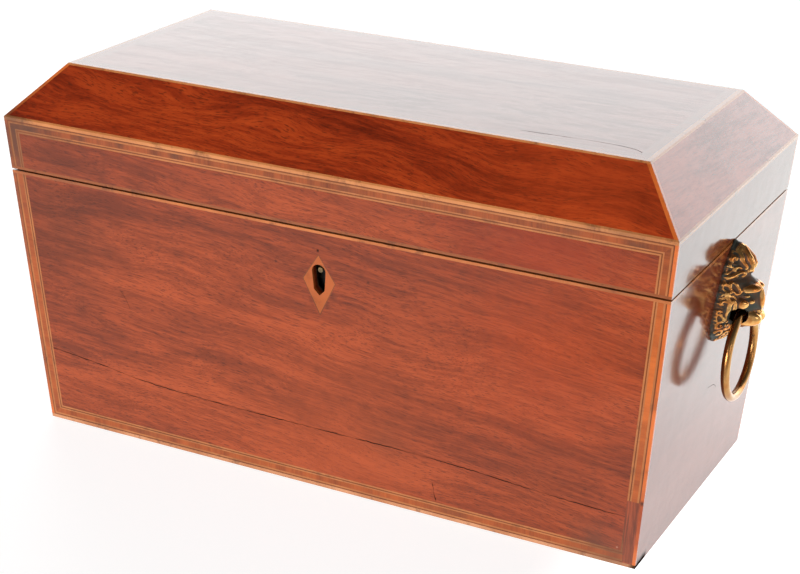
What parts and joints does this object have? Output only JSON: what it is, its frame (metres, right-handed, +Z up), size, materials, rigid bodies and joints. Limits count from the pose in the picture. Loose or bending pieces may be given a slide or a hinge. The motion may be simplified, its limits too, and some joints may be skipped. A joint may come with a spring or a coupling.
{
  "type": "tea caddy",
  "caption": "Sarcophagus tea caddy in mahogany with boxwood strings, hinged lid, lock, lion mask ring handles, removable canisters and a glass mixing bowl.",
  "frame": {"origin": "centre of the base's underside", "axes": "+X to the right along the front, +Y to the back, +Z up; the keyhole faces -Y"},
  "size_m": [0.3346, 0.155, 0.1665],
  "materials": {
    "mahogany_veneer": "french polished",
    "mahogany_board": "planed and oiled",
    "crossband": "french polished",
    "boxwood": "french polished",
    "corner_boxwood": "french polished",
    "ebony": "french polished",
    "fruitwood": "french polished",
    "brass": "aged",
    "gilt_brass": "antique gilt, dark in the hollows",
    "steel": "aged",
    "glass": "clear, cut",
    "baize": "felted",
    "velvet": "short pile",
    "knob": "turned and polished"
  },
  "bodies": {
    "case": {"base_board": "mahogany_board", "base_baize": "baize", "front_board": "mahogany_board", "back_board": "mahogany_board", "left_board": "mahogany_board", "right_board": "mahogany_board", "front_veneer": "mahogany_veneer", "back_veneer": "mahogany_veneer", "left_veneer": "mahogany_veneer", "right_veneer": "mahogany_veneer", "front_crossbanding": "crossband", "front_light_strings": "boxwood", "front_dark_strings": "ebony", "corner_edging": "corner_boxwood", "base_edging": "boxwood", "rim_edging": "boxwood", "escutcheon": "fruitwood", "lock_case": "brass", "case_screws": "brass", "hinge_case_leaves": "brass", "hinge_pins": "steel", "left_lion_mask": "gilt_brass", "right_lion_mask": "gilt_brass", "mask_screws": "steel", "left_partition": "mahogany_board", "right_partition": "mahogany_board", "bowl_board": "mahogany_veneer"},
    "lid": {"lid_front_rail": "mahogany_board", "lid_back_rail": "mahogany_board", "lid_left_rail": "mahogany_board", "lid_right_rail": "mahogany_board", "lid_bevel_boards": "mahogany_board", "lid_top_board": "mahogany_board", "lid_lining": "velvet", "lid_front_veneer": "mahogany_veneer", "lid_back_veneer": "mahogany_veneer", "lid_end_veneers": "mahogany_veneer", "lid_bevel_veneers": "mahogany_veneer", "lid_top_veneer": "mahogany_veneer", "lid_crossbanding": "crossband", "lid_light_strings": "boxwood", "lid_dark_strings": "ebony", "lid_edging": "boxwood", "lid_corner_strings": "corner_boxwood", "link_plate": "brass", "lid_screws": "brass", "hinge_lid_leaves": "brass"},
    "lock_bolt": {"lock_bolt": "brass"},
    "left_ring": {"left_ring": "gilt_brass"},
    "right_ring": {"right_ring": "gilt_brass"},
    "glass_bowl": {"glass_bowl": "glass"},
    "left_canister": {"left_canister": "mahogany_veneer", "left_canister_pins": "brass"},
    "right_canister": {"right_canister": "mahogany_veneer", "right_canister_pins": "brass"},
    "left_canister_lid": {"left_canister_lid": "mahogany_veneer", "left_canister_knob": "knob"},
    "right_canister_lid": {"right_canister_lid": "mahogany_veneer", "right_canister_knob": "knob"}
  },
  "joints": [
    {"name": "lid_hinge", "type": "hinge", "parent": "case", "child": "lid", "pos_m": [0, 0.07575, 0.1206], "axis": [-1, 0, 0], "range_deg": [0, 98]},
    {"name": "lock_bolt_slide", "type": "slide", "parent": "case", "child": "lock_bolt", "axis": [1, 0, 0], "range_m": [0, 0.0032]},
    {"name": "right_ring_swing", "type": "hinge", "parent": "case", "child": "right_ring", "pos_m": [0.1575, 0, 0.0915], "axis": [0, -1, 0], "range_deg": [-4, 95]},
    {"name": "left_ring_swing", "type": "hinge", "parent": "case", "child": "left_ring", "pos_m": [-0.1575, 0, 0.0915], "axis": [0, 1, 0], "range_deg": [-4, 95]},
    {"name": "right_canister_lift", "type": "slide", "parent": "case", "child": "right_canister", "axis": [0, 0, 1], "range_m": [0, 0.028]},
    {"name": "left_canister_lift", "type": "slide", "parent": "case", "child": "left_canister", "axis": [0, 0, 1], "range_m": [0, 0.028]},
    {"name": "glass_bowl_lift", "type": "slide", "parent": "case", "child": "glass_bowl", "axis": [0, 0, 1], "range_m": [0, 0.028]},
    {"name": "right_canister_lid_hinge", "type": "hinge", "parent": "right_canister", "child": "right_canister_lid", "pos_m": [0.09, 0.05803, 0.1102], "axis": [-1, 0, 0], "range_deg": [0, 88.2]},
    {"name": "left_canister_lid_hinge", "type": "hinge", "parent": "left_canister", "child": "left_canister_lid", "pos_m": [-0.09, 0.05803, 0.1102], "axis": [-1, 0, 0], "range_deg": [0, 88.2]}
  ],
  "couplings": [
    {"joint": "right_canister_lid_hinge", "follows": "lid_hinge", "ratio": 0.9},
    {"joint": "left_canister_lid_hinge", "follows": "lid_hinge", "ratio": 0.9}
  ]
}
